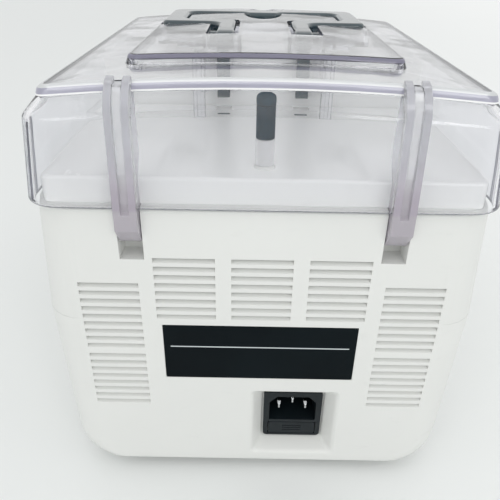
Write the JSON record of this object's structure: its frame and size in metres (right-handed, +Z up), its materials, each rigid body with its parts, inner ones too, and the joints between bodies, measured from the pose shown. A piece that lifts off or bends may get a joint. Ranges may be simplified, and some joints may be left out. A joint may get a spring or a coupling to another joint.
{
  "type": "banknote strapping machine",
  "caption": "Countertop banknote strapping machine: white housing, clear hinged lid with folding carry handle, note mouth in front, vents and mains inlet at the back.",
  "frame": {"origin": "on the table under the middle of the machine", "axes": "+Z up, +Y to the rear where the vents and the mains inlet are, -Y to the front where the note mouth is"},
  "size_m": [0.202, 0.292, 0.2125],
  "materials": {
    "white_plastic": "warm white ABS, fine satin gloss",
    "deck_plastic": "polished white ABS",
    "clear_plastic": "clear polycarbonate with a faint lilac tint",
    "handle_plastic": "dark slate plastic, glossy",
    "black_plastic": "black plastic, fine grain",
    "plate_film": "near black plate with a plain white rule",
    "felt_sleeve": "dark slate flocked sleeve",
    "rubber": "black rubber",
    "sheet_steel": "zinc plated sheet",
    "bright_steel": "nickel plated",
    "stainless": "brushed stainless",
    "brass": "bare brass",
    "aluminium": "machined",
    "nylon": "natural nylon",
    "circuit_board": "green solder mask",
    "window_film": "dark red window",
    "grey_key": "light grey key",
    "red_key": "red key",
    "motor_case": "grey enamel",
    "glass_tube": "clear glass",
    "winding": "varnished copper winding and taped core"
  },
  "bodies": {
    "root": {"housing": "white_plastic", "base_pan": "sheet_steel", "feet": "rubber", "base_screws": "bright_steel", "top_deck": "deck_plastic", "head_cover": "deck_plastic", "rating_plate": "plate_film", "inlet_surround": "white_plastic", "inlet_housing": "black_plastic", "inlet_pins": "bright_steel", "hinge_pins": "bright_steel", "post_rod": "bright_steel", "post_tube": "clear_plastic", "post_cap": "handle_plastic", "front_panel": "plate_film", "display_window": "window_film", "display_module": "black_plastic", "display_board": "circuit_board", "key_switches": "black_plastic", "switch_frame": "black_plastic", "mouth_collar": "black_plastic", "mouth_tunnel": "stainless", "tape_track": "nylon", "anvil": "stainless", "chassis_plates": "sheet_steel", "shaft_brackets": "sheet_steel", "bearings": "brass", "head_block": "aluminium", "head_motor": "motor_case", "feed_motor": "motor_case", "motor_mounts": "sheet_steel", "main_board": "circuit_board", "transformer": "winding"},
    "lid": {"lid_shell": "clear_plastic", "handle_tray": "clear_plastic", "hinge_arms": "clear_plastic", "lid_posts": "clear_plastic", "handle_pins": "bright_steel"},
    "handle": {"carry_handle": "handle_plastic"},
    "latch": {"latch_tongues": "handle_plastic"},
    "fuse_drawer": {"fuse_drawer": "black_plastic", "fuse": "glass_tube"},
    "guide_roller": {"guide_roller": "felt_sleeve"},
    "feed_key": {"feed_key": "grey_key"},
    "cut_key": {"cut_key": "grey_key"},
    "mode_key": {"mode_key": "grey_key"},
    "reset_key": {"reset_key": "red_key"},
    "rocker": {"power_rocker": "black_plastic"},
    "cam_shaft": {"cam_shaft": "bright_steel", "cam_gear": "nylon"},
    "clamps": {"clamp_blocks": "aluminium"},
    "press": {"press_block": "black_plastic", "heater_plate": "brass"},
    "cutter": {"cutter_blade": "stainless"},
    "head_pinion": {"head_pinion": "brass"},
    "feed_roller": {"feed_roller": "rubber", "feed_gear": "nylon"},
    "feed_pinion": {"feed_pinion": "brass"},
    "pinch_arm": {"pinch_arm": "sheet_steel"},
    "pinch_roller": {"pinch_roller": "rubber"}
  },
  "joints": [
    {"name": "lid_hinge", "type": "hinge", "parent": "root", "child": "lid", "pos_m": [0, 0.1365, 0.146], "axis": [-1, 0, 0], "range_deg": [0, 100]},
    {"name": "handle_fold", "type": "hinge", "parent": "lid", "child": "handle", "pos_m": [0, 0.035, 0.2065], "axis": [-1, 0, 0], "range_deg": [0, 90]},
    {"name": "latch_slide", "type": "slide", "parent": "lid", "child": "latch", "axis": [0, 0, -1], "range_m": [0, 0.008]},
    {"name": "fuse_drawer_slide", "type": "slide", "parent": "root", "child": "fuse_drawer", "axis": [0, 1, 0], "range_m": [0, 0.016]},
    {"name": "guide_roller_spin", "type": "hinge", "parent": "root", "child": "guide_roller", "pos_m": [0, 0.122, 0.189], "axis": [0, 0, 1], "continuous": true},
    {"name": "power_rocker_tilt", "type": "hinge", "parent": "root", "child": "rocker", "pos_m": [0.09646, -0.07, 0.062], "axis": [0, 0, -1], "range_deg": [0, 16]},
    {"name": "cam_spin", "type": "hinge", "parent": "root", "child": "cam_shaft", "pos_m": [0, -0.098, 0.036], "axis": [1, 0, 0], "range_deg": [0, 90]},
    {"name": "head_motor_spin", "type": "hinge", "parent": "root", "child": "head_pinion", "pos_m": [0.064, -0.068, 0.036], "axis": [1, 0, 0], "range_deg": [-360, 0]},
    {"name": "clamp_lift", "type": "slide", "parent": "root", "child": "clamps", "axis": [0, 0, 1], "range_m": [0, 0.003]},
    {"name": "press_lift", "type": "slide", "parent": "root", "child": "press", "axis": [0, 0, 1], "range_m": [0, 0.004]},
    {"name": "cutter_lift", "type": "slide", "parent": "root", "child": "cutter", "axis": [0, 0, 1], "range_m": [0, 0.004]},
    {"name": "feed_spin", "type": "hinge", "parent": "root", "child": "feed_roller", "pos_m": [0.068, -0.098, 0.12], "axis": [0, 1, 0], "continuous": true},
    {"name": "feed_motor_spin", "type": "hinge", "parent": "root", "child": "feed_pinion", "pos_m": [0.0464, -0.098, 0.12], "axis": [0, 1, 0], "continuous": true},
    {"name": "pinch_arm_swing", "type": "hinge", "parent": "root", "child": "pinch_arm", "pos_m": [0.0297, -0.098, 0.12], "axis": [0, -1, 0], "range_deg": [0, 15]},
    {"name": "pinch_roller_spin", "type": "hinge", "parent": "pinch_arm", "child": "pinch_roller", "pos_m": [0.0487, -0.098, 0.12], "axis": [0, 1, 0], "continuous": true},
    {"name": "feed_key_press", "type": "slide", "parent": "root", "child": "feed_key", "axis": [0, 0.8084, -0.5886], "range_m": [0, 0.0012], "stiffness_N_per_m": 300},
    {"name": "cut_key_press", "type": "slide", "parent": "root", "child": "cut_key", "axis": [0, 0.8084, -0.5886], "range_m": [0, 0.0012], "stiffness_N_per_m": 300},
    {"name": "mode_key_press", "type": "slide", "parent": "root", "child": "mode_key", "axis": [0, 0.8084, -0.5886], "range_m": [0, 0.0012], "stiffness_N_per_m": 300},
    {"name": "reset_key_press", "type": "slide", "parent": "root", "child": "reset_key", "axis": [0, 0.8084, -0.5886], "range_m": [0, 0.0012], "stiffness_N_per_m": 300}
  ],
  "couplings": [
    {"joint": "latch_slide", "follows": "handle_fold", "m_per_rad": 0.005093},
    {"joint": "head_motor_spin", "follows": "cam_spin", "ratio": -4},
    {"joint": "clamp_lift", "follows": "cam_spin", "m_per_rad": 0.0019099},
    {"joint": "press_lift", "follows": "cam_spin", "m_per_rad": 0.0025465},
    {"joint": "cutter_lift", "follows": "cam_spin", "m_per_rad": 0.0025465},
    {"joint": "feed_motor_spin", "follows": "feed_spin", "ratio": -2.8571},
    {"joint": "pinch_roller_spin", "follows": "feed_spin", "ratio": -1.375}
  ]
}
